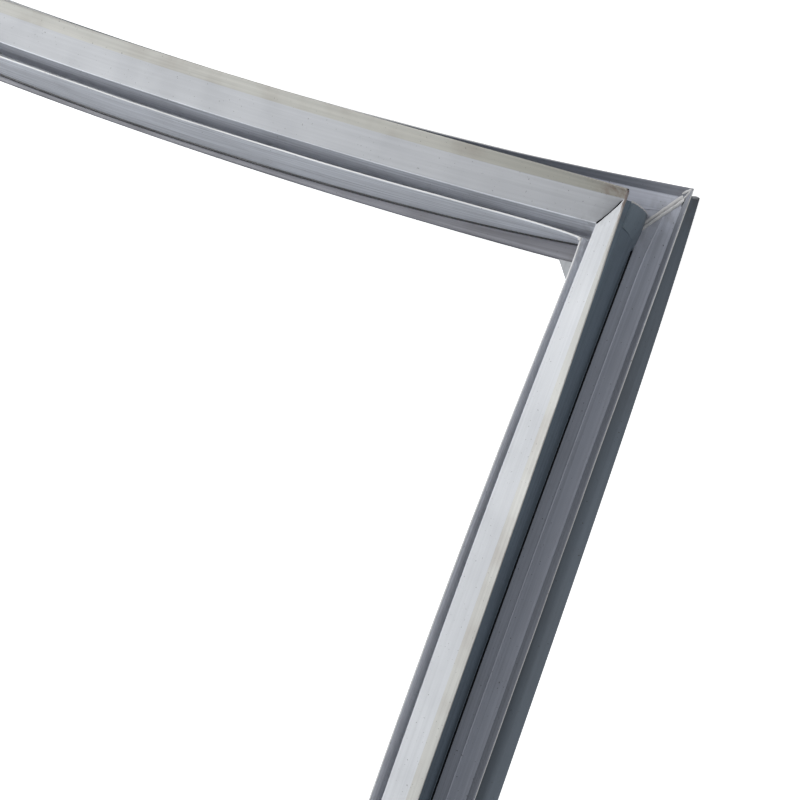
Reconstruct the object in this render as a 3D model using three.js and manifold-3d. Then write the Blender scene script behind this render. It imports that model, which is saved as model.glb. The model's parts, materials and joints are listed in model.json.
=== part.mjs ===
// A refrigerator door gasket, lying free with its magnet face up.
// One soft extrusion runs round all four sides and is welded at 45 degrees in each corner.
// A flexible magnet strip lies in the pocket of each side.
// Millimetres, +Z up. X runs along the top side, Y along the long sides.

import * as THREE from "three";
import { mergeVertices } from "three/addons/utils/BufferGeometryUtils.js";
import Module from "manifold-3d";

const wasm = await Module();
wasm.setup();

// The whole frame, measured over the tips of the outer lips at the corners
const overallWidth = 570;
const overallLength = 700;
const sideBow = 7.3;

// The soft lips stand differently in the welded corners and along the free sides.
// They pass from one to the other over about this length.
const easeLength = 90;

// In the corners the magnet face leans in, so its inner edge lies this much lower there.
// The lean ends at this length along the side, and fades out over a short way beyond the edge.
const faceFallAtCorner = 2.8;
const faceFallLength = 160;
const faceFallFade = 3.5;

// Magnet strips
const magnetWidth = 8.7;
const magnetThickness = 2;
const magnetPlay = 0.3;
const magnetEndGap = 4;

// Magnet pocket, at the top of the section
const faceHeight = 27;
const pocketWall = 0.8;
const faceEdgeRound = 0.7;

// Fin on the outer edge of the magnet face
const finLength = 5.15;
const finRootThickness = 0.9;
const finTipThickness = 0.5;
const finLiftAtCorner = 50;
const finLiftAtMiddle = -8;

// Bellows between the pocket and the base web
const bellowsWall = 0.9;
const bellowsBulge = 0.8;
const bellowsOuterFoot = 8.6;
const bellowsInnerFoot = 15.2;

// Base web and its turned-down inner hem
const webTop = 5.6;
const webThickness = 1.2;
const hemReach = 25.6;
const hemThickness = 0.9;
const hemRound = 0.8;

// Inner lip, a free flap that shields the bellows
const innerLipThickness = 1;
const innerLipTipThickness = 0.7;
const innerLipCurve = 0.6;
const innerLipRootAtCorner = 17.7;
const innerLipRootAtMiddle = 23.5;
const innerLipTipAtCorner = 15.7;
const innerLipTipAtMiddle = 16.3;
const innerLipHeightAtCorner = 21.9;
const innerLipHeightAtMiddle = 27;

// Wide outer flange with a small rib, an upturned outer lip and a hanging skirt.
// On the long sides they splay out. On the short sides they are tucked in under the fin.
const flangeReachAtCorner = 6.8;
const flangeReachOnLongSides = 7.1;
const flangeReachOnShortSides = 3.8;
const ribReach = 1.3;
const ribWidth = 0.7;
const ribHeight = 0.3;
const outerLipLength = 4.4;
const outerLipTipThickness = 0.7;
const outerLipLiftAtCorner = 30;
const outerLipLiftOnLongSides = 12;
const outerLipLiftOnShortSides = 85;
const skirtThickness = 1.3;
const skirtTipThickness = 0.7;
const skirtTipAtCorner = 8.6;
const skirtTipOnLongSides = 17;
const skirtTipOnShortSides = 4.8;

// Dart under the web, which is pushed into the door's groove
const dartReach = 12;
const dartStem = 2;
const dartBarb = 5;
const dartTip = 1.4;
const dartBarbHeight = 2;

// Open slit that the weld leaves across the magnet face in each corner
const slitWidth = 0.7;
const slitMargin = 0.5;

const curveSteps = 4;
const stepsPerHalfSide = 6;
const stepCrowding = 1.6;

// Sizes that follow from the ones above
const faceWidth = magnetWidth + 2 * magnetPlay + 2 * pocketWall;
const cavityTop = faceHeight - pocketWall;
const cavityBottom = cavityTop - magnetThickness - 2 * magnetPlay;
const pocketBottom = cavityBottom - pocketWall;
const webBottom = webTop - webThickness;
const lipTilt = THREE.MathUtils.degToRad(outerLipLiftAtCorner);
const lipOverhang = outerLipLength * Math.cos(lipTilt) + outerLipTipThickness * Math.sin(lipTilt);
const lipReach = flangeReachAtCorner + lipOverhang;
const halfWidth = overallWidth / 2 - lipReach;
const halfLength = overallLength / 2 - lipReach;
const sideCount = 4;

// Draws a gently curved wall to (x, y), bulging to the right of its direction
function curveTo(path, x, y, bulge) {
  const from = path.currentPoint;
  const run = new THREE.Vector2(x - from.x, y - from.y);
  const side = new THREE.Vector2(run.y, -run.x).normalize().multiplyScalar(2 * bulge);
  path.quadraticCurveTo((from.x + x) / 2 + side.x, (from.y + y) / 2 + side.y, x, y);
}

// The section's outer outline. x is the distance outside the face's outer edge, y is the height.
// ease is 0 in the corner and nears 1 along the side.
function outline(ease, isLong) {
  const between = (atCorner, atMiddle) => THREE.MathUtils.lerp(atCorner, atMiddle, ease);
  const bySide = (atCorner, onLong, onShort) => between(atCorner, isLong ? onLong : onShort);
  const flangeReach = bySide(flangeReachAtCorner, flangeReachOnLongSides, flangeReachOnShortSides);
  const path = new THREE.Path();

  // Underside: hem, web and dart
  path.moveTo(-hemReach, 0);
  path.lineTo(-hemReach + hemThickness, 0);
  path.lineTo(-hemReach + hemThickness, webBottom);
  path.lineTo(-dartReach - dartStem / 2, webBottom);
  path.lineTo(-dartReach - dartStem / 2, dartBarbHeight);
  path.lineTo(-dartReach - dartBarb / 2, dartBarbHeight);
  path.lineTo(-dartReach - dartTip / 2, 0);
  path.lineTo(-dartReach + dartTip / 2, 0);
  path.lineTo(-dartReach + dartBarb / 2, dartBarbHeight);
  path.lineTo(-dartReach + dartStem / 2, dartBarbHeight);
  path.lineTo(-dartReach + dartStem / 2, webBottom);
  path.lineTo(flangeReach, webBottom);

  // Skirt and outer lip
  const skirtTip = bySide(skirtTipAtCorner, skirtTipOnLongSides, skirtTipOnShortSides);
  path.lineTo(skirtTip - skirtTipThickness, 0);
  path.lineTo(skirtTip, 0);
  path.lineTo(flangeReach + skirtThickness, webBottom);
  const lipLift = THREE.MathUtils.degToRad(
    bySide(outerLipLiftAtCorner, outerLipLiftOnLongSides, outerLipLiftOnShortSides),
  );
  const lipTipX = flangeReach + outerLipLength * Math.cos(lipLift);
  const lipTipY = webTop + outerLipLength * Math.sin(lipLift);
  const lipUnderX = lipTipX + outerLipTipThickness * Math.sin(lipLift);
  path.lineTo(lipUnderX, lipTipY - outerLipTipThickness * Math.cos(lipLift));
  path.lineTo(lipTipX, lipTipY);
  path.lineTo(flangeReach, webTop);

  // Flange and rib, up to the crease at the foot of the bellows
  path.lineTo(-ribReach + ribWidth / 2, webTop);
  path.lineTo(-ribReach, webTop + ribHeight);
  path.lineTo(-ribReach - ribWidth / 2, webTop);
  path.lineTo(-bellowsOuterFoot, webTop);

  // Outer wall of the bellows, side of the pocket and fin
  curveTo(path, 0, pocketBottom, bellowsBulge);
  path.lineTo(0, faceHeight - finRootThickness);
  const finLift = THREE.MathUtils.degToRad(between(finLiftAtCorner, finLiftAtMiddle));
  const finTipX = finLength * Math.cos(finLift);
  const finTipY = faceHeight + finLength * Math.sin(finLift);
  path.lineTo(finTipX + finTipThickness * Math.sin(finLift), finTipY - finTipThickness * Math.cos(finLift));
  path.lineTo(finTipX, finTipY);
  path.lineTo(0, faceHeight);

  // Magnet face, its rounded inner edge and the inner wall of the bellows
  path.lineTo(-faceWidth + faceEdgeRound, faceHeight);
  path.quadraticCurveTo(-faceWidth, faceHeight, -faceWidth, faceHeight - faceEdgeRound);
  path.lineTo(-faceWidth, pocketBottom);
  curveTo(path, -bellowsInnerFoot, webTop, bellowsBulge);

  // Inner lip, up its outer side and down its inner side, then the rounded hem
  const lipRoot = -between(innerLipRootAtCorner, innerLipRootAtMiddle);
  const lipTip = -between(innerLipTipAtCorner, innerLipTipAtMiddle);
  const lipHeight = between(innerLipHeightAtCorner, innerLipHeightAtMiddle);
  path.lineTo(lipRoot + innerLipThickness, webTop);
  curveTo(path, lipTip + innerLipTipThickness, lipHeight, -innerLipCurve);
  path.lineTo(lipTip, lipHeight);
  curveTo(path, lipRoot, webTop, innerLipCurve);
  path.lineTo(-hemReach + hemRound, webTop);
  path.quadraticCurveTo(-hemReach, webTop, -hemReach, webTop - hemRound);
  path.closePath();
  return path;
}

// The hollow that holds the magnet strip
function pocketHollow() {
  const path = new THREE.Path();
  path.moveTo(-faceWidth + pocketWall, cavityBottom);
  path.lineTo(-pocketWall, cavityBottom);
  path.lineTo(-pocketWall, cavityTop);
  path.lineTo(-faceWidth + pocketWall, cavityTop);
  path.closePath();
  return path;
}

// The hollow of the bellows
function bellowsHollow() {
  const path = new THREE.Path();
  path.moveTo(-bellowsInnerFoot + bellowsWall, webTop);
  path.lineTo(-bellowsOuterFoot - bellowsWall, webTop);
  curveTo(path, -bellowsWall, pocketBottom, bellowsBulge);
  path.lineTo(-faceWidth + bellowsWall, pocketBottom);
  curveTo(path, -bellowsInnerFoot + bellowsWall, webTop, bellowsBulge);
  path.closePath();
  return path;
}

function magnetOutline() {
  const path = new THREE.Path();
  const outer = -pocketWall - magnetPlay;
  const base = cavityBottom + magnetPlay;
  path.moveTo(outer - magnetWidth, base);
  path.lineTo(outer, base);
  path.lineTo(outer, base + magnetThickness);
  path.lineTo(outer - magnetWidth, base + magnetThickness);
  path.closePath();
  return path;
}

// The path's points, once round
function pointsOf(path) {
  const points = path.getPoints(curveSteps);
  points.pop();
  return points;
}

// Half the distance between the corners that a side joins
function halfAlongOf(side) {
  return side % 2 === 0 ? halfLength : halfWidth;
}

function fromCornerAt(side, along) {
  return halfAlongOf(side) * (1 - Math.abs(along));
}

function easeAt(side, along) {
  return 1 - Math.exp(-fromCornerAt(side, along) / easeLength);
}

// How much lower a section point lies where the magnet face leans in
function fallAt(fromCorner, point) {
  const { clamp } = THREE.MathUtils;
  const lean = clamp(1 - fromCorner / faceFallLength, 0, 1) ** 2;
  const inward = point.x > -faceWidth ? -point.x / faceWidth : 1 - (-point.x - faceWidth) / faceFallFade;
  const upward = (point.y - webTop) / (faceHeight - webTop);
  return faceFallAtCorner * lean * clamp(inward, 0, 1) * clamp(upward, 0, 1);
}

// Where a section point lies on one side of the frame. along runs from -1 to 1 between the corners.
function placeOnSide(side, along, point) {
  const angle = (side * Math.PI) / 2;
  const out = halfAlongOf(side + 1) + point.x - sideBow * (1 - along * along);
  const run = along * (halfAlongOf(side) + point.x);
  const [cos, sin] = [Math.round(Math.cos(angle)), Math.round(Math.sin(angle))];
  const height = point.y - fallAt(fromCornerAt(side, along), point);
  return new THREE.Vector3(out * cos - run * sin, out * sin + run * cos, height);
}

// How far along a side its stations lie, closer together near the corners
function stations(end) {
  const found = [];
  for (let step = -stepsPerHalfSide; step <= stepsPerHalfSide; step += 1) {
    const left = 1 - Math.abs(step) / stepsPerHalfSide;
    found.push(Math.sign(step) * (1 - left ** stepCrowding));
  }
  found[0] = -end;
  found[found.length - 1] = end;
  return found;
}

// Joins a row of equal outlines into a skin, either round in a ring or with both ends capped
function skin(rows, ring) {
  const count = rows[0].length;
  const positions = rows.flat().flatMap((corner) => corner.toArray());
  const index = [];
  const joints = ring ? rows.length : rows.length - 1;
  for (let row = 0; row < joints; row += 1) {
    const here = row * count;
    const next = ((row + 1) % rows.length) * count;
    for (let i = 0; i < count; i += 1) {
      const j = (i + 1) % count;
      index.push(here + i, next + i, next + j, here + i, next + j, here + j);
    }
  }
  if (!ring) {
    const last = (rows.length - 1) * count;
    for (let i = 1; i < count - 1; i += 1) {
      index.push(0, i, i + 1, last, last + i + 1, last + i);
    }
  }
  return { positions, index };
}

function toSolid({ positions, index }) {
  return new wasm.Manifold(
    new wasm.Mesh({
      numProp: 3,
      vertProperties: new Float32Array(positions),
      triVerts: new Uint32Array(index),
    }),
  );
}

function toGeometry(solid) {
  const { vertProperties, triVerts } = solid.getMesh();
  const geometry = new THREE.BufferGeometry();
  geometry.setAttribute("position", new THREE.BufferAttribute(new Float32Array(vertProperties), 3));
  geometry.setIndex(new THREE.BufferAttribute(new Uint32Array(triVerts), 1));
  geometry.computeVertexNormals();
  return geometry;
}

// A solid from one of three.js's closed geometries
function solidOf(geometry) {
  geometry.deleteAttribute("normal");
  geometry.deleteAttribute("uv");
  const merged = mergeVertices(geometry);
  return toSolid({ positions: merged.attributes.position.array, index: merged.index.array });
}

// One loop of the section swept round the four sides, mitred in the corners
function ringSkin(pathAt) {
  const rows = [];
  for (let side = 0; side < sideCount; side += 1) {
    for (const along of stations(1).slice(0, -1)) {
      const points = pointsOf(pathAt(easeAt(side, along), side % 2 === 0));
      rows.push(points.map((point) => placeOnSide(side, along, point)));
    }
  }
  return skin(rows, true);
}

// The slit across the magnet face in one corner. It opens the pocket and the bellows to the air.
function cornerSlit(signX, signY) {
  const inner = -faceWidth + pocketWall + slitMargin;
  const outer = -pocketWall - slitMargin;
  const depth = faceHeight - pocketBottom + 2 * pocketWall;
  const slit = new THREE.BoxGeometry((outer - inner) * Math.SQRT2, slitWidth, depth);
  const middle = (inner + outer) / 2;
  const height = (faceHeight + pocketBottom) / 2;
  slit.rotateZ((signX * signY * Math.PI) / 4);
  slit.translate(signX * (halfWidth + middle), signY * (halfLength + middle), height);
  return solidOf(slit);
}

function gasketBody() {
  let body = toSolid(ringSkin(outline));
  for (const hollow of [pocketHollow, bellowsHollow]) {
    body = body.subtract(toSolid(ringSkin(hollow)));
  }
  for (const signX of [-1, 1]) {
    for (const signY of [-1, 1]) {
      body = body.subtract(cornerSlit(signX, signY));
    }
  }
  return toGeometry(body);
}

function magnetStrip(side) {
  const points = pointsOf(magnetOutline());
  const rows = stations(1 - magnetEndGap / halfAlongOf(side)).map((along) =>
    points.map((point) => placeOnSide(side, along, point)),
  );
  return toGeometry(toSolid(skin(rows, false)));
}

const softGrey = new THREE.MeshStandardMaterial({ color: 0xb9bcc4, roughness: 0.45, metalness: 0 });
const magnetBrown = new THREE.MeshStandardMaterial({ color: 0x2b2623, roughness: 0.7, metalness: 0 });

const gasket = new THREE.Group();

function addPiece(name, geometry, material) {
  const mesh = new THREE.Mesh(geometry, material);
  mesh.name = name;
  gasket.add(mesh);
}

addPiece("gasket_body", gasketBody(), softGrey);
["right", "top", "left", "bottom"].forEach((place, side) => {
  addPiece(`magnet_strip_${place}`, magnetStrip(side), magnetBrown);
});

export default gasket;
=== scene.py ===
import json
import math
import random

import bmesh
import bpy
import numpy as np
from mathutils import Matrix, Vector

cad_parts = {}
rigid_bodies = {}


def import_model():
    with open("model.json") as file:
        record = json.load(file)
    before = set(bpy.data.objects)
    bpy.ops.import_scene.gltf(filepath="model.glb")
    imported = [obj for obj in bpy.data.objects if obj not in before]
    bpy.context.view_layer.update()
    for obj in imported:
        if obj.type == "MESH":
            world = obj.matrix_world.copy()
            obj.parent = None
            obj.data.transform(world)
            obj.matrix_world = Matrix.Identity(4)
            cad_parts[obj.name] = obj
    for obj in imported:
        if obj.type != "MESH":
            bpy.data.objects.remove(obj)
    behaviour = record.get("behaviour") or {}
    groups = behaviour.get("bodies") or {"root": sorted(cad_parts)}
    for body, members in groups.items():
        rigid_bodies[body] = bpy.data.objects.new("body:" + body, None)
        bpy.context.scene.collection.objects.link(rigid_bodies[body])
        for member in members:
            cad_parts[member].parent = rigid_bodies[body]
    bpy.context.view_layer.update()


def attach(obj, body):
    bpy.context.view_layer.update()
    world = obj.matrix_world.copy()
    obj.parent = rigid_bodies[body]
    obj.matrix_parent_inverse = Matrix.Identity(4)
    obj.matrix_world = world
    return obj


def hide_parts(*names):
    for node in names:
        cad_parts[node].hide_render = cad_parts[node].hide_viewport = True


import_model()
bpy.ops.object.select_all(action="DESELECT")
print("stage: frame loaded")

mm = 0.001  # sizes below are in millimetres

# the section and the frame; x runs outwards from the face's outer edge, z runs up from the floor
gasketSizes = {
    "overallWidth": 570,
    "overallLength": 700,
    "sideBow": 7.3,  # how far the middle of each side is drawn in
    "easeLength": 90,  # over this length the lips pass from their corner pose to their free pose
    "faceWidth": 10.9,
    "faceHeight": 27,
    "faceFall": 2.8,  # how much lower the face's inner edge lies in the corners
    "faceFallLength": 160,
    "faceFallFade": 3.5,
    "longFaceFall": 0.6,  # and along the long sides
    "faceRipple": 0.07,
    "pocketBottom": 22.8,
    "neckDepth": 0.6,
    "bellowsOuterFoot": 8.6,
    "bellowsInnerFoot": 15.2,
    "bellowsBulge": 0.8,
    "webTop": 5.6,
    "webBottom": 4.4,
    "hemReach": 25.6,
    "hemThickness": 0.9,
    "flangeReach": (6.8, 7.1, 3.8),
    "cornerBulge": 2.2,  # the bellows swells where it is welded
    "cornerBulgeLength": 11,
    "creaseDepth": 0.7,
    "creaseWidth": 1.6,
    "innerCreaseWidth": 0.55,
    "slitWidth": 1.1,
    "slitLength": 1.5,
    "slitDip": 0.8,
    "slitDipLength": 4,
    "longSlitDip": 0.3,  # share of the dip that the long sides have
    "ribReach": 1.3,
    "ribWidth": 0.7,
    "ribHeight": 0.3,
    "dartReach": 12,
    "dartStem": 2,
    "dartBarb": 5,
    "dartTip": 1.4,
    "dartBarbHeight": 2,
    "cells": 120,  # along each side
    "crowding": 1.6,  # more cells near the corners
    "wave": 0.16,  # slight wander of the soft edges
    "waves": ((17, 1.3, 0.5), (6.3, 2.1, 0.3), (41, 1, 0.8)),  # length, shift from side to side, share
    "weldCalm": 12,  # the welds hold the edges straight over this length
    # over this length the painted shade on the short sides fades from the corners
    "paintedShadeLength": 160,
}

# each soft lip is drawn straight, then bent
# pairs hold in the corner and along the side; threes in the corner, on long and on short sides
lipPoses = {
    "finLength": 5.15,
    "finRoot": 0.9,
    "finTip": 0.5,
    "finLift": (50, -8),
    "finNotch": (0.5, 4, 3.5),  # the long sides' fin draws in beside the weld: share, place, length
    "finWrinkle": (0.28, 2.1, 9),  # height, waves, fade
    "innerLipDrawn": 20.0,
    "innerLipTop": 25.6,
    "innerLipThickness": (1.0, 0.7),
    "innerLipRoot": (17.7, 23.5),
    "innerLipTip": (15.9, 16.3),
    "innerLipPull": 1.5,  # the corner weld pulls the tip this much further in
    "innerLipPullLength": 12,
    "innerLipHeight": (21.9, 27.0),
    "innerLipCurve": 0.6,
    "outerLipLength": 4.4,
    "outerLipTip": 0.7,
    "outerLipLift": (30, 12, 85),
    "skirtThickness": 1.3,
    "skirtTipThickness": 0.7,
    "skirtTip": (8.6, 17, 4.8),
}

g = gasketSizes
lips = lipPoses
lipTilt = math.radians(lips["outerLipLift"][0])
lipOverhang = lips["outerLipLength"] * math.cos(lipTilt) + lips["outerLipTip"] * math.sin(lipTilt)
lipReach = g["flangeReach"][0] + lipOverhang
halfWidth = g["overallWidth"] / 2 - lipReach
halfLength = g["overallLength"] / 2 - lipReach

cameraPlace = {
    "azimuth": 4.55,
    "elevation": 47.14,
    "roll": -74.7,
    "distance": 1400,
    "cornerPixel": (624.1, 199.1),  # where the face's outer corner shows in the 800 by 800 photo
    "pixelsPerMillimetre": 3.0,
    "pictureSize": 800,
}


def makeCamera():
    c = cameraPlace
    azimuth, elevation, roll = (math.radians(c[k]) for k in ("azimuth", "elevation", "roll"))
    flat = math.cos(elevation)
    toCamera = Vector((flat * math.cos(azimuth), flat * math.sin(azimuth), math.sin(elevation)))
    level = Vector((0, 0, 1)).cross(toCamera).normalized()
    upright = toCamera.cross(level)
    right = level * math.cos(roll) + upright * math.sin(roll)
    up = upright * math.cos(roll) - level * math.sin(roll)
    corner = Vector((halfWidth, halfLength, g["faceHeight"])) * mm
    middle = c["pictureSize"] / 2
    offX = (c["cornerPixel"][0] - middle) / c["pixelsPerMillimetre"] * mm
    offY = (middle - c["cornerPixel"][1]) / c["pixelsPerMillimetre"] * mm
    aim = corner - right * offX - up * offY
    bpy.ops.object.camera_add()
    camera = bpy.context.object
    camera.name = "photoCamera"
    camera.matrix_world = Matrix((right, up, toCamera)).transposed().to_4x4()
    camera.location = aim + toCamera * c["distance"] * mm
    camera.data.sensor_width = 36
    camera.data.lens = c["pixelsPerMillimetre"] * c["distance"] / c["pictureSize"] * 36
    camera.data.clip_end = 20
    bpy.context.scene.camera = camera


makeCamera()
print("stage: camera")


# the outline of the section

def rounded(corners, segments=3):
    points = []
    for i, (label, x, z, radius) in enumerate(corners):
        corner = Vector((x, z))
        if not radius:
            points.append((label, corner))
            continue
        before = Vector(corners[i - 1][1:3]) - corner
        after = Vector(corners[(i + 1) % len(corners)][1:3]) - corner
        start = corner + before.normalized() * min(radius, before.length * 0.45)
        end = corner + after.normalized() * min(radius, after.length * 0.45)
        for k in range(segments + 1):
            t = k / segments
            points.append((label, start.lerp(corner, t).lerp(corner.lerp(end, t), t)))
    return points


def bulged(label, start, end, bulge, steps):
    a, b = Vector(start), Vector(end)
    run = b - a
    side = Vector((run.y, -run.x)).normalized()
    found = []
    for k in range(1, steps):
        t = k / steps
        p = a.lerp(b, t) + side * (bulge * 4 * t * (1 - t))
        found.append((label, p.x, p.y, 0))
    return found


def sectionOutline():
    face, web, under = g["faceHeight"], g["webTop"], g["webBottom"]
    dart, reach = g["dartReach"], g["flangeReach"][0]
    skirt = reach + lips["skirtThickness"]
    drawn = lips["innerLipDrawn"]
    rootThick, tipThick = lips["innerLipThickness"]
    lipTop = lips["innerLipTop"]
    groove = g["creaseDepth"]
    outerEnd = reach + lips["outerLipLength"]
    fin = lips["finLength"]
    corners = [
        ("hem", -g["hemReach"], 0, 0.2),
        ("under", -g["hemReach"] + g["hemThickness"], 0, 0.2),
        ("under", -g["hemReach"] + g["hemThickness"], under, 0.3),
        ("under", -dart - g["dartStem"] / 2, under, 0.3),
        ("under", -dart - g["dartStem"] / 2, g["dartBarbHeight"], 0.15),
        ("under", -dart - g["dartBarb"] / 2, g["dartBarbHeight"], 0.15),
        ("under", -dart - g["dartTip"] / 2, 0, 0.15),
        ("under", -dart + g["dartTip"] / 2, 0, 0.15),
        ("under", -dart + g["dartBarb"] / 2, g["dartBarbHeight"], 0.15),
        ("under", -dart + g["dartStem"] / 2, g["dartBarbHeight"], 0.15),
        ("under", -dart + g["dartStem"] / 2, under, 0.3),
        ("skirt", reach, under, 0.3),
        *bulged("skirt", (reach, under), (skirt - lips["skirtTipThickness"], 0), 0, 4),
        ("skirt", skirt - lips["skirtTipThickness"], 0, 0.2),
        ("skirt", skirt, 0, 0.25),
        *bulged("skirt", (skirt, 0), (skirt, under), 0, 5),
        ("skirt", skirt, under, 0.3),
        ("lipEdge", outerEnd, web - lips["outerLipTip"], 0.25),
        ("outerLip", outerEnd, web, 0.25),
        *bulged("outerLip", (outerEnd, web), (reach, web), 0, 3),
        ("flange", reach, web, 0.35),
        ("flange", reach * 0.55, web, 0),
        ("flange", reach * 0.1, web, 0),
        ("flange", -g["ribReach"] + g["ribWidth"] / 2, web, 0.12),
        ("flange", -g["ribReach"], web + g["ribHeight"], 0.12),
        ("flange", -g["ribReach"] - g["ribWidth"] / 2, web, 0.12),
        ("flange", -g["bellowsOuterFoot"] * 0.55, web, 0),
        ("crease", -g["bellowsOuterFoot"] + g["creaseWidth"], web, 0.1),
        ("crease", -g["bellowsOuterFoot"] + g["creaseWidth"] - 0.2, web - groove, 0.1),
        ("bellows", -g["bellowsOuterFoot"], web - groove, 0.2),
        *bulged("bellows", (-g["bellowsOuterFoot"], web), (0, g["pocketBottom"]), g["bellowsBulge"], 8),
        ("bellows", 0, g["pocketBottom"], 0.4),
        ("finBack", 0, face - lips["finRoot"], 0.25),
        *bulged("finBack", (0, face - lips["finRoot"]), (fin, face - lips["finTip"]), 0, 3),
        ("finEdge", fin, face - lips["finTip"], 0.18),
        ("fin", fin, face, 0.18),
        *bulged("fin", (fin, face), (0, face), 0, 5),
        ("face", 0, face, 0.2),
    ]
    for k in range(1, 9):
        x = -g["faceWidth"] * k / 9
        ripple = g["faceRipple"] * math.sin(k * 2.4)
        corners.append(("face", x, face + ripple, 0))
    corners += [
        ("channel", -g["faceWidth"], face, 0.7),
        ("channel", -g["faceWidth"], g["pocketBottom"] + 0.3, 0.4),
        ("channel", -g["faceWidth"] + g["neckDepth"], g["pocketBottom"] - 0.5, 0.3),
        *bulged(
            "channel",
            (-g["faceWidth"] + g["neckDepth"], g["pocketBottom"] - 0.5),
            (-g["bellowsInnerFoot"], web),
            g["bellowsBulge"] * 1.3,
            7,
        ),
        ("channel", -g["bellowsInnerFoot"], web, 0.4),
        ("lipBack", -drawn + rootThick, web, 0.3),
        *bulged("lipBack", (-drawn + rootThick, web), (-drawn + tipThick, lipTop), 0, 7),
        ("lipTip", -drawn + tipThick, lipTop, 0.22),
        ("innerLip", -drawn, lipTop, 0.22),
        *bulged("innerLip", (-drawn, lipTop), (-drawn, web), 0, 7),
        ("crease", -drawn, web - groove, 0.1),
        ("crease", -drawn - g["innerCreaseWidth"], web - groove, 0.1),
        ("hem", -drawn - g["innerCreaseWidth"] - 0.2, web, 0.1),
        ("hem", -g["hemReach"] + 1.2, web + 0.12, 0.3),
        ("hem", -g["hemReach"], web, 0.8),
    ]
    return rounded(corners)


def mixed(poses, ease, isLong=True):
    free = poses[1] if isLong or len(poses) == 2 else poses[2]
    return poses[0] + (free - poses[0]) * ease


def turned(x, z, pivotX, pivotZ, angle):
    cos, sin = np.cos(angle), np.sin(angle)
    dx, dz = x - pivotX, z - pivotZ
    return pivotX + dx * cos - dz * sin, pivotZ + dx * sin + dz * cos


def swellAt(up):
    return g["cornerBulge"] * np.sqrt(1 - up) * np.sin(np.pi * (0.35 + 0.65 * up))


def flexed(drawnX, drawnZ, ease, fromCorner, isLong, wander):
    x, z = drawnX.copy(), drawnZ.copy()
    face, web, under = g["faceHeight"], g["webTop"], g["webBottom"]
    # flange
    foot, drawnReach = g["bellowsOuterFoot"], g["flangeReach"][0]
    reach = mixed(g["flangeReach"], ease, isLong)
    low = (drawnX > -foot) & (drawnZ < web + g["ribHeight"] + 0.05)
    share = np.clip((drawnX + foot) / (drawnReach + foot), 0, 1)
    shift = (reach - drawnReach) * share
    x = np.where(low, x + shift, x)
    # fin
    fin = (drawnX > 0.02) & (drawnZ > face - lips["finRoot"] - 0.05)
    share = np.clip(drawnX / lips["finLength"], 0, 1)
    lift = np.radians(mixed(lips["finLift"], ease)) * (0.75 + 0.25 * share)
    notch, notchPlace, notchLength = lips["finNotch"]
    shrink = 1 - notch * isLong * np.exp(-(((fromCorner - notchPlace) / notchLength) ** 2)) * share
    finX, finZ = turned(drawnX * shrink, drawnZ, 0, face, lift + wander * 0.12)
    crumple, waves, fade = lips["finWrinkle"]
    wrinkle = crumple * np.sin(fromCorner * waves) * np.exp(-fromCorner / fade) * share
    highest = face + lips["finLength"] * math.sin(math.radians(lips["finLift"][0]))
    x, z = np.where(fin, finX, x), np.where(fin, np.minimum(finZ + wrinkle, highest), z)
    # bellows
    wall = (drawnX > -foot - 0.3) & (drawnX < 0.5) & (drawnZ > web + 0.02) & (drawnZ < g["pocketBottom"])
    up = np.clip((drawnZ - web) / (g["pocketBottom"] - web), 0, 1)
    swell = swellAt(up) * np.exp(-((fromCorner / g["cornerBulgeLength"]) ** 2))
    x = np.where(wall, x + swell, x)
    # outer lip
    lip = (drawnX > drawnReach + 0.1) & (drawnZ > under + 0.2)
    lift = np.radians(mixed(lips["outerLipLift"], ease, isLong)) + wander * 0.15
    lipX, lipZ = turned(drawnX + shift, drawnZ, reach, web, lift)
    x, z = np.where(lip, lipX, x), np.where(lip, lipZ, z)
    # skirt
    skirt = (drawnX > drawnReach - 0.2) & (drawnZ < under + 0.05)
    drop = np.clip((under - drawnZ) / under, 0, 1)
    drawnTip = drawnReach + lips["skirtThickness"]
    swing = mixed(lips["skirtTip"], ease, isLong) - drawnTip - (reach - drawnReach)
    x = np.where(skirt, x + swing * drop**1.2, x)
    # inner lip
    drawn = lips["innerLipDrawn"]
    inner = (drawnX > -drawn - 0.9) & (drawnX < -drawn + 1.35) & (drawnZ > web - g["creaseDepth"] - 0.05)
    rise = np.clip((drawnZ - web) / (lips["innerLipTop"] - web), 0, 1)
    root = -mixed(lips["innerLipRoot"], ease)
    pull = lips["innerLipPull"] * np.exp(-fromCorner / lips["innerLipPullLength"])
    tip = -mixed(lips["innerLipTip"], ease) - pull
    height = mixed(lips["innerLipHeight"], ease)
    bulge = lips["innerLipCurve"] * 4 * rise * (1 - rise)
    lipX = root + (tip - root) * rise - bulge + (drawnX + drawn) + wander * 0.5 * rise
    lipZ = web + (height - web) * rise + wander * 0.25 * rise + np.minimum(drawnZ - web, 0)
    x, z = np.where(inner, lipX, x), np.where(inner, lipZ, z)
    # lean of the magnet face
    beyond = 1 - (-drawnX - g["faceWidth"]) / g["faceFallFade"]
    inward = np.where(drawnX > -g["faceWidth"], -drawnX / g["faceWidth"], beyond)
    upward = np.clip((drawnZ - web) / (face - web), 0, 1)
    lean = np.clip(1 - fromCorner / g["faceFallLength"], 0, 1) ** 2
    lean = g["faceFall"] * lean + g["longFaceFall"] * isLong * ease
    fall = lean * np.clip(inward, 0, 1) * upward
    hump = np.clip(np.sin(np.pi * np.clip(-drawnX / g["faceWidth"], 0, 1)), 0, 1) * (drawnZ > face - 0.8)
    dip = g["slitDip"] * (g["longSlitDip"] if isLong else 1)
    fall = fall + hump * dip * np.exp(-fromCorner / g["slitDipLength"])
    return x, np.where(inner, z, z - fall)


def halfAlongOf(side):
    return halfLength if side % 2 == 0 else halfWidth


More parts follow.
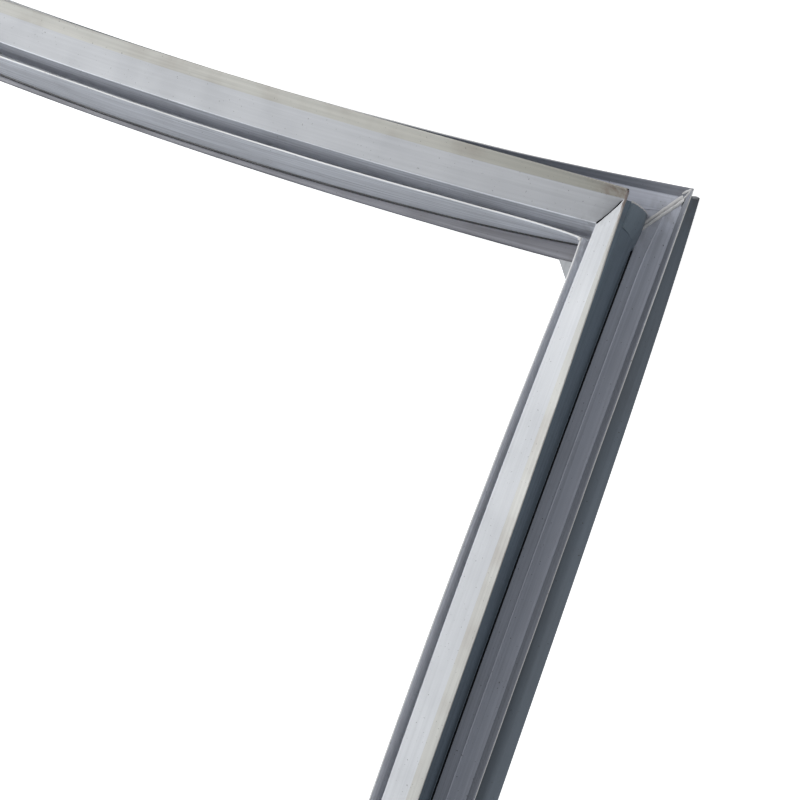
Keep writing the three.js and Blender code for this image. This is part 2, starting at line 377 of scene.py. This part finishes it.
def makeSide(side, outline):
    # the section is drawn out straight, then bent into its place
    n = len(outline)
    bpy.ops.mesh.primitive_circle_add(vertices=n, radius=1, fill_type="NOTHING")
    bar = bpy.context.object
    bar.name = ("right", "top", "left", "bottom")[side] + "Side"
    for vertex, (label, p) in zip(bar.data.vertices, outline):
        vertex.co = (p.x, -1, p.y)
    bpy.ops.object.mode_set(mode="EDIT")
    bpy.ops.mesh.select_all(action="SELECT")
    bpy.ops.mesh.extrude_region_move(TRANSFORM_OT_translate={"value": (0, 2, 0)})
    mesh = bmesh.from_edit_mesh(bar.data)
    bpy.ops.mesh.select_mode(type="EDGE")
    for edge in mesh.edges:
        edge.select_set(abs(edge.verts[0].co.y - edge.verts[1].co.y) > 1)
    bmesh.update_edit_mesh(bar.data)
    bpy.ops.mesh.subdivide(number_cuts=g["cells"] - 1)
    for end in (-1, 1):
        mesh = bmesh.from_edit_mesh(bar.data)
        for edge in mesh.edges:
            edge.select_set(all(abs(v.co.y - end) < 1e-4 for v in edge.verts))
        bmesh.update_edit_mesh(bar.data)
        bpy.ops.mesh.edge_face_add()
    bpy.ops.mesh.select_all(action="SELECT")
    bpy.ops.mesh.normals_make_consistent(inside=False)
    bpy.ops.object.mode_set(mode="OBJECT")

    count = len(bar.data.vertices)
    co = np.empty(count * 3)
    bar.data.vertices.foreach_get("co", co)
    x, y, z = co.reshape(-1, 3).T
    keys = {(round(p.x, 3), round(p.y, 3)): i for i, (label, p) in enumerate(outline)}
    row = np.array([keys[(round(a, 3), round(b, 3))] for a, b in zip(x.tolist(), z.tolist())])
    lengths = [0.0]
    for (label, a), (nextLabel, b) in zip(outline, outline[1:]):
        lengths.append(lengths[-1] + (b - a).length)
    across = np.array(lengths)[row]

    step = np.abs(y)
    along = np.sign(y) * (1 - (1 - step) ** g["crowding"])
    half, out = halfAlongOf(side), halfAlongOf(side + 1)
    fromCorner = half * (1 - np.abs(along))
    ease = 1 - np.exp(-fromCorner / g["easeLength"])
    run = along * half
    calm = 1 - np.exp(-fromCorner / g["weldCalm"])
    waves = [np.sin(run / length + side * shift) * share for length, shift, share in g["waves"]]
    wander = calm * sum(waves) * g["wave"]
    newX, newZ = flexed(x, z, ease, fromCorner, side % 2 == 0, wander)
    bow = g["sideBow"] * (1 - along**2)
    outward = out + newX - bow
    onFace = (x < -0.9) & (x > -g["faceWidth"] + 0.5) & (z > g["faceHeight"] - 0.5)
    slit = onFace * np.clip(1 - fromCorner / g["slitLength"], 0, 1) * g["slitWidth"] / 2
    lengthwise = along * (half + newX - slit)

    angle = side * math.pi / 2
    cos, sin = round(math.cos(angle)), round(math.sin(angle))
    placed = np.stack([outward * cos - lengthwise * sin, outward * sin + lengthwise * cos, newZ], 1) * mm
    bar.data.vertices.foreach_set("co", placed.ravel())
    strip = bar.data.attributes.new("strip", "FLOAT_VECTOR", "POINT")
    strip.data.foreach_set("vector", np.stack([across, run, fromCorner], 1).ravel())

    # painted shade: the short sides are drawn darker, most of all towards the corners, where less light
    # falls on their face and fin
    paintedShortSideShade = bar.data.attributes.new("paintedShortSideShade", "FLOAT", "POINT")
    shadeShare = 0.5 + 0.5 * np.exp(-((fromCorner / g["paintedShadeLength"]) ** 2))
    paintedShortSideShade.data.foreach_set("value", shadeShare * (side % 2))
    for vinyl in vinyls:
        bar.data.materials.append(vinyl)
    labels = np.array([label for label, p in outline])
    for polygon in bar.data.polygons:
        rows = sorted(set(row[v] for v in polygon.vertices))
        # the end caps, which also close the slit at the mitre, get the near-black painted shadow
        if len(rows) > 2:
            polygon.material_index = regionOf["crease"]
            continue
        first = rows[0] if rows[1] - rows[0] == 1 else rows[1]
        polygon.material_index = regionOf[labels[first]]
    bar.data.update()
    return bar


# which stretches of the outline each vinyl covers
vinylRegions = {
    "vinylUnder": ["under"],
    "vinylFace": ["face"],
    "vinylFin": ["fin", "finEdge", "finBack"],
    "vinylShadedBellows": ["bellows"],
    "vinylFlange": ["flange"],
    "vinylSkirt": ["skirt"],
    "vinylInner": ["channel", "innerLip"],
    "vinylHem": ["hem"],
    "vinylLip": ["outerLip"],
    # painted highlight: the thin edges of both lips are drawn pale
    "vinylPaintedHighlight": ["lipEdge", "lipTip"],
    # painted shadow: near black in the creases at the foot of the bellows and of the inner lip
    "vinylPaintedShadow": ["crease"],
    "vinylLipBack": ["lipBack"],
}
regionOf = {label: i for i, labels in enumerate(vinylRegions.values()) for label in labels}

# colours and wear of each region of the soft vinyl; some colours are painted shade, shadow or highlight
vinylLooks = {
    "vinylUnder": {"colour": (0.30, 0.305, 0.33), "stain": 0.2},
    "vinylFace": {
        "colour": (0.59, 0.60, 0.62), "streaks": 0.03, "stain": 0.07, "roughness": 0.5,
        # painted shade multiplied into the short sides' face
        "paintedShadeColour": (0.64, 0.64, 0.65),
    },
    "vinylFin": {
        "colour": (0.56, 0.553, 0.52), "streaks": 0.05, "stain": 0.3, "stainColour": (0.20, 0.10, 0.07),
        # painted shade multiplied into the short sides' fin
        "paintedShadeColour": (0.66, 0.65, 0.61),
    },
    # painted shade: the bellows wall is the same grey vinyl, drawn dark for the side turned from the light
    "vinylShadedBellows": {"colour": (0.17, 0.215, 0.26), "streaks": 0.10, "stain": 0.15},
    "vinylFlange": {"colour": (0.49, 0.505, 0.57), "streaks": 0.06, "stain": 0.12, "specks": 0.7},
    "vinylSkirt": {"colour": (0.152, 0.177, 0.208), "streaks": 0.07, "stain": 0.2},
    "vinylInner": {"colour": (0.68, 0.70, 0.75), "streaks": 0.13, "stain": 0.2},
    "vinylLipBack": {"colour": (0.76, 0.77, 0.80), "streaks": 0.1, "stain": 0.15},
    "vinylHem": {"colour": (0.18, 0.18, 0.205), "streaks": 0.14, "stain": 0.3},
    "vinylLip": {"colour": (0.29, 0.30, 0.34), "streaks": 0.08, "stain": 0.1},
    # pale colour as a painted highlight along the lip edges
    "vinylPaintedHighlight": {"colour": (0.78, 0.77, 0.75), "streaks": 0.06, "stain": 0.15},
    "vinylSeam": {"colour": (0.68, 0.67, 0.66), "streaks": 0.05, "stain": 0.1, "strip": False},
    # painted shade, matching the darkened bellows wall
    "vinylShadedFlap": {"colour": (0.20, 0.245, 0.285), "streaks": 0.06, "stain": 0.2, "strip": False},
    "vinylMelt": {"colour": (0.36, 0.37, 0.38), "streaks": 0.05, "stain": 0.1, "strip": False},
    "vinylScorch": {"colour": (0.22, 0.13, 0.10), "streaks": 0.05, "stain": 0.3, "strip": False},
    # near black, a painted shadow for creases, caps and the dent
    "vinylPaintedShadow": {"colour": (0.012, 0.013, 0.016), "streaks": 0.02, "stain": 0.1, "strip": False},
}


def softVinyl(name):
    look = {
        "streaks": 0.12, "stain": 0.2, "specks": 0.5, "roughness": 0.46, "strip": True,
        "stainColour": (0.12, 0.11, 0.105), "paintedShadeColour": None, **vinylLooks[name],
    }
    material = bpy.data.materials.new(name)
    material.use_nodes = True
    nodes, links = material.node_tree.nodes, material.node_tree.links
    shader = nodes["Principled BSDF"]
    objectPlace = nodes.new("ShaderNodeTexCoord").outputs["Object"]
    if look["strip"]:
        strip = nodes.new("ShaderNodeAttribute")
        strip.attribute_name = "strip"
        stripPlace, size = strip.outputs["Vector"], 1.0
    else:
        stripPlace, size = objectPlace, 1000.0

    def noise(place, scale, detail, stretch=(1, 1, 1)):
        mapping = nodes.new("ShaderNodeMapping")
        mapping.inputs["Scale"].default_value = stretch
        links.new(place, mapping.inputs["Vector"])
        texture = nodes.new("ShaderNodeTexNoise")
        texture.inputs["Scale"].default_value = scale
        texture.inputs["Detail"].default_value = detail
        links.new(mapping.outputs[0], texture.inputs["Vector"])
        return texture.outputs["Fac"]

    def ranged(value, low, high, toLow, toHigh):
        node = nodes.new("ShaderNodeMapRange")
        for label, number in zip(("From Min", "From Max", "To Min", "To Max"), (low, high, toLow, toHigh)):
            node.inputs[label].default_value = number
        links.new(value, node.inputs["Value"])
        return node.outputs["Result"]

    def mixedColour(factor, first, second):
        node = nodes.new("ShaderNodeMix")
        node.data_type = "RGBA"
        sockets = [node.inputs[label] for label in ("Factor", "A", "B")]
        for socket, value in zip(sockets, (factor, first, second)):
            if isinstance(value, tuple):
                socket.default_value = (*value, 1)
            else:
                links.new(value, socket)
        return node.outputs["Result"]

    base = look["colour"]
    dark = tuple(c * (1 - 2 * look["streaks"]) for c in base)
    pale = tuple(c * (1 + 1.6 * look["streaks"]) for c in base)
    streak = noise(stripPlace, 0.9 * size, 3, (1, 0.012, 0))  # fine lines left by the extrusion die
    broad = noise(stripPlace, 0.16 * size, 3, (1.6, 0.05, 0))
    mottle = noise(objectPlace, 55, 6)
    cloud = noise(objectPlace, 14, 3)
    colour = mixedColour(ranged(streak, 0.35, 0.65, 0, 1), dark, pale)
    colour = mixedColour(ranged(broad, 0.4, 0.75, 0, 0.6), colour, base)
    colour = mixedColour(ranged(mottle, 0.5, 0.85, 0, look["stain"]), colour, look["stainColour"])
    colour = mixedColour(ranged(cloud, 0.55, 0.8, 0, look["stain"] * 0.5), colour, dark)
    specks = noise(objectPlace, 1100, 1)
    colour = mixedColour(ranged(specks, 0.735, 0.77, 0, look["specks"]), colour, (0.05, 0.04, 0.035))
    scuffs = noise(stripPlace, 0.5 * size, 2, (1.2, 0.16, 0.3))
    colour = mixedColour(ranged(scuffs, 0.7, 0.78, 0, 0.3), colour, pale)
    if look["strip"]:
        split = nodes.new("ShaderNodeSeparateXYZ")
        links.new(stripPlace, split.inputs[0])
        patchy = nodes.new("ShaderNodeMath")
        patchy.operation = "MULTIPLY"
        links.new(ranged(split.outputs["Z"], 1, 16, look["stain"] * 2.4, 0), patchy.inputs[0])
        links.new(ranged(noise(objectPlace, 260, 4), 0.4, 0.62, 0, 1), patchy.inputs[1])
        patchy.use_clamp = True
        colour = mixedColour(patchy.outputs[0], colour, look["stainColour"])
    # painted shade: darken the short sides by the shade attribute
    if look["paintedShadeColour"]:
        paintedShortSideShade = nodes.new("ShaderNodeAttribute")
        paintedShortSideShade.attribute_name = "paintedShortSideShade"
        shadeShare = nodes.new("ShaderNodeMix")
        shadeShare.data_type = "RGBA"
        shadeShare.blend_type = "MULTIPLY"
        shadeShare.inputs["B"].default_value = (*look["paintedShadeColour"], 1)
        links.new(paintedShortSideShade.outputs["Fac"], shadeShare.inputs["Factor"])
        links.new(colour, shadeShare.inputs["A"])
        colour = shadeShare.outputs["Result"]
    links.new(colour, shader.inputs["Base Color"])
    rough = look["roughness"]
    links.new(ranged(mottle, 0.3, 0.7, rough - 0.07, rough + 0.1), shader.inputs["Roughness"])
    shader.inputs["IOR"].default_value = 1.5
    shader.inputs["Specular IOR Level"].default_value = 0.4
    grain = noise(objectPlace, 2600, 2)
    previous = None
    bumps = ((streak, 0.15, 0.0001), (grain, 0.16, 0.00006), (mottle, 0.3, 0.0004))
    for value, strength, distance in bumps:
        bump = nodes.new("ShaderNodeBump")
        bump.inputs["Strength"].default_value = strength
        bump.inputs["Distance"].default_value = distance
        links.new(value, bump.inputs["Height"])
        if previous:
            links.new(previous, bump.inputs["Normal"])
        previous = bump.outputs["Normal"]
    links.new(previous, shader.inputs["Normal"])
    return material


vinyls = [softVinyl(name) for name in vinylRegions]
outline = sectionOutline()
sides = [makeSide(side, outline) for side in range(4)]
bpy.ops.object.select_all(action="DESELECT")
for bar in sides:
    bar.select_set(True)
bpy.context.view_layer.objects.active = sides[0]
bpy.ops.object.join()
gasket = bpy.context.object
gasket.name = "gasketSkin"
bpy.ops.object.shade_smooth_by_angle(angle=math.radians(32))
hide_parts("gasket_body")
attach(gasket, "root")
print("stage: gasket skin", len(gasket.data.vertices), "points")

# weld marks; u and v run outwards from the face's corner, in millimetres
weldMarks = {
    "seamRadius": 0.66,
    "seamSplit": 0.5,
    "knotRadius": 0.62,
    "flapFoot": 2.6,
    "flapSwell": 0.1,
    "flapRoot": 9,
    "flapThickness": 0.7,
    "flapProud": 0.1,
    "flapSink": 0.5,  # how deep its root lies in the wall
    "flapBulge": 0.894,  # share of the wall's bulge that points outwards
    "gussetReach": 14.5,
    "gussetThickness": 1.6,
    "wobble": 0.14,
}
chance = random.Random(5)


def smoothPath(points, steps):
    held = [points[0], *points, points[-1]]
    found = []
    for k in range(len(points) - 1):
        a, b, c, d = (Vector(p) for p in held[k:k + 4])
        for i in range(steps):
            t = i / steps
            pull = (c - a) * t + (2 * a - 5 * b + 4 * c - d) * t**2 + (3 * b - a - 3 * c + d) * t**3
            found.append(b + pull / 2)
    return found + [Vector(points[-1])]


def bead(name, corner, points, radii, material, steps=6, flat=1.0):
    signX, signY = corner
    wobble = weldMarks["wobble"]
    path = []
    for p in smoothPath(points, steps):
        p = p + Vector([chance.uniform(-wobble, wobble) * 0.5 for axis in range(3)])
        path.append(Vector((signX * (halfWidth + p.x), signY * (halfLength + p.y), p.z)) * mm)
    bpy.ops.mesh.primitive_circle_add(vertices=12, radius=mm, fill_type="NOTHING")
    piece = bpy.context.object
    piece.name = name
    bpy.ops.object.mode_set(mode="EDIT")
    bpy.ops.mesh.select_all(action="SELECT")
    bpy.ops.mesh.edge_face_add()
    for step in path[1:]:
        bpy.ops.mesh.extrude_region_move(TRANSFORM_OT_translate={"value": (0, 0, mm)})
    bpy.ops.object.mode_set(mode="OBJECT")
    last = len(path) - 1
    for vertex in piece.data.vertices:
        k = round(vertex.co.z / mm)
        angle = math.atan2(vertex.co.y, vertex.co.x)
        run = (path[min(k + 1, last)] - path[max(k - 1, 0)]).normalized()
        across = run.cross(Vector((0, 0, 1)))
        across = across.normalized() if across.length > 0.05 else Vector((1, 0, 0))
        rise = across.cross(run)
        t = k / last * (len(radii) - 1)
        low = min(int(t), len(radii) - 2)
        radius = (radii[low] + (radii[low + 1] - radii[low]) * (t - low)) * mm
        vertex.co = path[k] + across * (math.cos(angle) * radius) + rise * (math.sin(angle) * radius * flat)
    bpy.ops.object.mode_set(mode="EDIT")
    bpy.ops.mesh.select_all(action="SELECT")
    bpy.ops.mesh.normals_make_consistent(inside=False)
    bpy.ops.object.mode_set(mode="OBJECT")
    piece.data.materials.append(material)
    return piece


def gusset(corner, material):
    signX, signY = corner
    hem, reach = -g["hemReach"] + 1.2, weldMarks["gussetReach"]
    plan = [(hem, hem), (hem - reach, hem), (hem, hem - reach)]
    bpy.ops.mesh.primitive_circle_add(vertices=3, radius=mm, fill_type="NGON")
    plate = bpy.context.object
    plate.name = "gusset"
    top = g["webTop"] - 0.35
    for vertex, (u, v) in zip(plate.data.vertices, plan):
        bow = g["sideBow"] * 0.09 * (u != v)
        vertex.co = Vector((signX * (halfWidth + u - bow), signY * (halfLength + v - bow), top)) * mm
    bpy.ops.object.mode_set(mode="EDIT")
    bpy.ops.mesh.select_all(action="SELECT")
    down = -weldMarks["gussetThickness"] * mm
    bpy.ops.mesh.extrude_region_move(TRANSFORM_OT_translate={"value": (0, 0, down)})
    bpy.ops.mesh.select_all(action="SELECT")
    bpy.ops.mesh.normals_make_consistent(inside=False)
    bpy.ops.mesh.bevel(offset=0.35 * mm, segments=3, affect="EDGES")
    bpy.ops.object.mode_set(mode="OBJECT")
    plate.data.materials.append(material)
    return plate


def wallPoint(t, reach):
    # the long side's bellows wall runs on past the mitre; t rises from its foot to the pocket
    w = weldMarks
    z = g["webTop"] + (g["pocketBottom"] - g["webTop"]) * t
    u = -g["bellowsOuterFoot"] * (1 - t) + w["flapBulge"] * g["bellowsBulge"] * 4 * t * (1 - t)
    swell = swellAt(t)
    end = -w["flapFoot"] * (1 - t) ** 1.2 + w["flapSwell"] * math.sin(math.pi * t)
    start = min(u + swell, end) - w["flapRoot"]
    v = start + (end - start) * reach
    fromMitre = max(0, u + swell - v)
    u += swell * math.exp(-((fromMitre / g["cornerBulgeLength"]) ** 2))
    u += w["flapProud"] - w["flapSink"] * (1 - reach) ** 2
    return (u, v, z)


def wallFlap(corner, material):
    signX, signY = corner
    bpy.ops.mesh.primitive_grid_add(x_subdivisions=12, y_subdivisions=12, size=2)
    flap = bpy.context.object
    flap.name = "wallFlap"
    for vertex in flap.data.vertices:
        u, v, z = wallPoint((vertex.co.x + 1) / 2, (vertex.co.y + 1) / 2)
        vertex.co = Vector((signX * (halfWidth + u), signY * (halfLength + v), z)) * mm
    bpy.ops.object.modifier_add(type="SOLIDIFY")
    flap.modifiers[0].thickness = weldMarks["flapThickness"] * mm
    flap.modifiers[0].offset = 0
    bpy.ops.object.modifier_apply(modifier=flap.modifiers[0].name)
    bpy.ops.object.mode_set(mode="EDIT")
    bpy.ops.mesh.select_all(action="SELECT")
    bpy.ops.mesh.normals_make_consistent(inside=False)
    bpy.ops.object.mode_set(mode="OBJECT")
    flap.data.materials.append(material)
    return flap


def cornerWeld(corner, seam, melt, scorch, shadowPaint, flap):
    w = weldMarks
    radius, split, web = w["seamRadius"], w["seamSplit"], g["webTop"]
    reach = g["flangeReach"][0]
    found = []
    for s in (-split, split):
        run = [
            (-7 + s, -7 - s, web),
            (-3 + s, -3 - s, web + 0.15),
            (2 + s, 2 - s, web + 0.1),
            (reach + s, reach - s, web),
        ]
        found.append(bead("flangeSeam", corner, run, (radius, radius * 0.8, radius, radius * 1.1), seam, 7))
    tip = (reach + 3.55, reach + 3.55, web + 2.2)
    loop = [(reach - 1.6, reach + 1.0, web + 0.2), (reach + 0.4, reach + 2.0, web + 1.0), tip]
    found.append(bead("lipFold", corner, loop, (0.35, 0.6, 0.3), seam, 6, 0.8))
    loop = [(reach - 0.4, reach - 0.6, web + 0.1), (reach + 1.6, reach + 1.2, web + 0.9), tip]
    found.append(bead("lipFold", corner, loop, (0.3, 0.45, 0.3), seam, 6))
    # a near-black bead painted as the shadow in the dent beside the lip fold
    dent = [
        (reach - 0.1, reach - 2.9, web),
        (reach + 0.5, reach - 1.3, web + 0.25),
        (reach + 0.9, reach - 0.3, web + 0.5),
    ]
    found.append(bead("lipDentShadow", corner, dent, (0.15, 0.5, 0.25), shadowPaint, 4, 0.6))
    rim = [wallPoint(t / 6, 1) for t in range(7)]
    found.append(bead("wallRim", corner, rim, (0.42, 0.4, 0.42, 0.42), seam, 4))
    # the flap carries the bellows wall's painted shade
    found.append(wallFlap(corner, flap))
    edge = [(0, 0, 26.6), (1.2, 1.2, 28.1), (2.95, 2.95, 30)]
    found.append(bead("finSeam", corner, edge, (0.3, 0.24, 0.34), scorch, 5))
    knot = [(-17.9, -17.9, 18.5), (-17.6, -17.6, 21), (-17.2, -17.2, 22.4)]
    found.append(bead("lipKnot", corner, knot, (0.3, 0.5, w["knotRadius"]), seam, 5))
    skirt = [(reach + 0.7, reach + 0.9, 4), (reach + 1.3, reach + 1.3, 2), (reach + 1.5, reach + 1.5, 0.6)]
    found.append(bead("skirtMelt", corner, skirt, (0.5, 0.6, 0.45), melt, 5))
    found.append(gusset(corner, melt))
    return found


seamLook, meltLook = softVinyl("vinylSeam"), softVinyl("vinylMelt")
scorchLook, paintedShadowLook = softVinyl("vinylScorch"), bpy.data.materials["vinylPaintedShadow"]
shadedFlapLook = softVinyl("vinylShadedFlap")
marks = []
for corner in ((1, 1), (-1, 1), (-1, -1), (1, -1)):
    marks += cornerWeld(corner, seamLook, meltLook, scorchLook, paintedShadowLook, shadedFlapLook)
bpy.ops.object.select_all(action="DESELECT")
for mark in marks:
    mark.select_set(True)
bpy.context.view_layer.objects.active = marks[0]
bpy.ops.object.join()
welds = bpy.context.object
welds.name = "cornerWelds"
bpy.ops.object.transform_apply()
bpy.ops.object.shade_smooth_by_angle(angle=math.radians(40))
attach(welds, "root")
print("stage: corner welds")

magnetLook = {"colour": (0.028, 0.023, 0.02), "pale": (0.06, 0.052, 0.046), "roughness": 0.62}


def magnetRubber():
    material = bpy.data.materials.new("magnetRubber")
    material.use_nodes = True
    nodes, links = material.node_tree.nodes, material.node_tree.links
    shader = nodes["Principled BSDF"]
    place = nodes.new("ShaderNodeTexCoord").outputs["Object"]
    grain, cloud = nodes.new("ShaderNodeTexNoise"), nodes.new("ShaderNodeTexNoise")
    for texture, scale, detail in ((grain, 1800, 4), (cloud, 70, 5)):
        texture.inputs["Scale"].default_value = scale
        texture.inputs["Detail"].default_value = detail
        links.new(place, texture.inputs["Vector"])
    ramp = nodes.new("ShaderNodeValToRGB")
    ramp.color_ramp.elements[0].color = (*magnetLook["colour"], 1)
    ramp.color_ramp.elements[1].color = (*magnetLook["pale"], 1)
    links.new(cloud.outputs["Fac"], ramp.inputs["Fac"])
    links.new(ramp.outputs["Color"], shader.inputs["Base Color"])
    shader.inputs["Roughness"].default_value = magnetLook["roughness"]
    bump = nodes.new("ShaderNodeBump")
    bump.inputs["Strength"].default_value = 0.3
    bump.inputs["Distance"].default_value = 0.0001
    links.new(grain.outputs["Fac"], bump.inputs["Height"])
    links.new(bump.outputs["Normal"], shader.inputs["Normal"])
    return material


rubber = magnetRubber()
for piece in bpy.data.objects:
    if piece.name.startswith("magnet_strip"):
        piece.material_slots[0].material = rubber
print("stage: magnets")

bpy.context.scene.view_settings.view_transform = "Standard"

floorLook = {
    "size": 12,
    "bounce": (0.3, 0.3, 0.31),  # what the part gets back from it
    "seen": (0.9, 0.9, 0.9),
    "glow": 0.75,
}


def makeFloor():
    bpy.ops.mesh.primitive_plane_add(size=floorLook["size"])
    floor = bpy.context.object
    floor.name = "floor"
    material = bpy.data.materials.new("paleFloor")
    material.use_nodes = True
    nodes, links = material.node_tree.nodes, material.node_tree.links
    nodes.clear()
    output = nodes.new("ShaderNodeOutputMaterial")
    seen = nodes.new("ShaderNodeLightPath")
    plain = nodes.new("ShaderNodeBsdfDiffuse")
    plain.inputs["Color"].default_value = (*floorLook["bounce"], 1)
    pale = nodes.new("ShaderNodeBsdfDiffuse")
    pale.inputs["Color"].default_value = (*floorLook["seen"], 1)
    glow = nodes.new("ShaderNodeEmission")
    glow.inputs["Strength"].default_value = floorLook["glow"]
    both = nodes.new("ShaderNodeAddShader")
    mix = nodes.new("ShaderNodeMixShader")
    links.new(pale.outputs[0], both.inputs[0])
    links.new(glow.outputs[0], both.inputs[1])
    links.new(seen.outputs["Is Camera Ray"], mix.inputs[0])
    links.new(plain.outputs[0], mix.inputs[1])
    links.new(both.outputs[0], mix.inputs[2])
    links.new(mix.outputs[0], output.inputs[0])
    floor.data.materials.append(material)


makeFloor()

# the light from all round is stronger on the left
worldLook = {"strength": (0.55, 0.22), "across": (-0.6, 0.9), "tint": (0.9, 0.95, 1), "seen": 1.0}


def makeWorld():
    world = bpy.data.worlds.new("studio")
    bpy.context.scene.world = world
    world.use_nodes = True
    nodes, links = world.node_tree.nodes, world.node_tree.links
    background = nodes["Background"]
    around = nodes.new("ShaderNodeTexCoord")
    split = nodes.new("ShaderNodeSeparateXYZ")
    links.new(around.outputs["Generated"], split.inputs[0])
    ramp = nodes.new("ShaderNodeMapRange")
    for end, place, strength in zip(("Min", "Max"), worldLook["across"], worldLook["strength"]):
        ramp.inputs["From " + end].default_value = place
        ramp.inputs["To " + end].default_value = strength
    links.new(split.outputs["X"], ramp.inputs["Value"])
    seen = nodes.new("ShaderNodeLightPath")
    strength = nodes.new("ShaderNodeMix")
    strength.data_type = "FLOAT"
    links.new(seen.outputs["Is Camera Ray"], strength.inputs["Factor"])
    links.new(ramp.outputs[0], strength.inputs[2])
    strength.inputs[3].default_value = worldLook["seen"]
    links.new(strength.outputs[0], background.inputs["Strength"])
    tint = nodes.new("ShaderNodeMix")
    tint.data_type = "RGBA"
    tint.inputs["A"].default_value = (*worldLook["tint"], 1)
    tint.inputs["B"].default_value = (1, 1, 1, 1)
    links.new(seen.outputs["Is Camera Ray"], tint.inputs["Factor"])
    links.new(tint.outputs["Result"], background.inputs["Color"])


makeWorld()

softLamps = {
    "keyLamp": {
        "place": (-1.6, 0.15, 1.05), "aim": (0.1, 0.3, 0), "power": 21, "size": 0.9, "shine": 0.4,
    },
    "topLamp": {
        "place": (-0.2, 0.5, 2.0), "aim": (0.2, 0.3, 0), "power": 10, "size": 1.2, "shine": 0.5,
    },
    "cornerFill": {
        "place": (0.95, 0.8, 0.5), "aim": (0.27, 0.3, 0), "power": 2.6, "size": 0.4, "shine": 0.3,
    },
}
for name, lamp in softLamps.items():
    place, aim = Vector(lamp["place"]), Vector(lamp["aim"])
    bpy.ops.object.light_add(type="AREA", location=place)
    light = bpy.context.object
    light.name = name
    light.data.energy = lamp["power"]
    light.data.size = lamp["size"]
    light.data.specular_factor = lamp["shine"]
    light.rotation_euler = (aim - place).to_track_quat("-Z", "Y").to_euler()
print("stage: studio")
